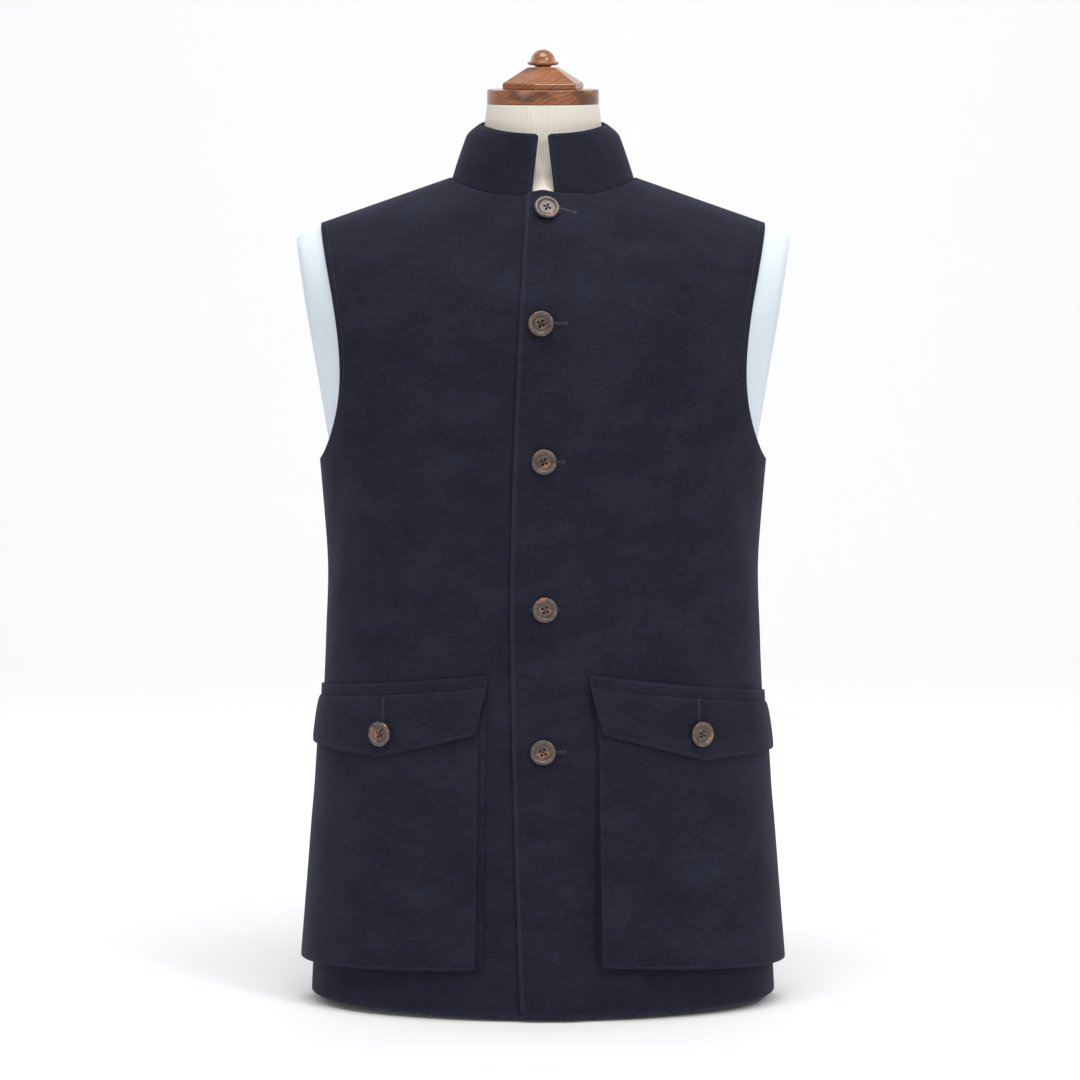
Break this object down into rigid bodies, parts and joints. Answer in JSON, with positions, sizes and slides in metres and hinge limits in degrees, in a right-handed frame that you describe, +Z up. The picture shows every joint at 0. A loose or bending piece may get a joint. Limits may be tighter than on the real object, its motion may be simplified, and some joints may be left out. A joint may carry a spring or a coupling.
{
  "type": "nehru waistcoat on a tailor's dress form",
  "caption": "Sleeveless navy stand-collar waistcoat buttoned down the front, with bellows patch pockets under pointed flaps, resting on a limbless dress form with a wooden neck cap.",
  "frame": {"origin": "middle of the dress form's flat base, where it stands on a surface", "axes": "+Z up along the form, -Y towards the buttoned front, +X towards the wearer's left"},
  "size_m": [0.4543, 0.2645, 0.8817],
  "materials": {
    "navy_cloth": "matt slubbed moleskin",
    "horn": "polished mottled brown horn",
    "form_cotton": "plain pale blue cotton",
    "form_jersey": "cream ribbed jersey",
    "cap_wood": "polished dark-grained rosewood"
  },
  "bodies": {
    "root": {"front_left": "navy_cloth", "front_right": "navy_cloth", "back": "navy_cloth", "collar": "navy_cloth", "pocket_left": "navy_cloth", "pocket_right": "navy_cloth", "pocket_gusset_left": "navy_cloth", "pocket_gusset_right": "navy_cloth", "flap_left": "navy_cloth", "flap_right": "navy_cloth", "button_1": "horn", "button_2": "horn", "button_3": "horn", "button_4": "horn", "button_5": "horn", "flap_button_left": "horn", "flap_button_right": "horn", "form_torso": "form_cotton", "form_neck": "form_jersey", "neck_cap": "cap_wood", "cap_block": "cap_wood", "finial": "cap_wood"}
  },
  "joints": []
}
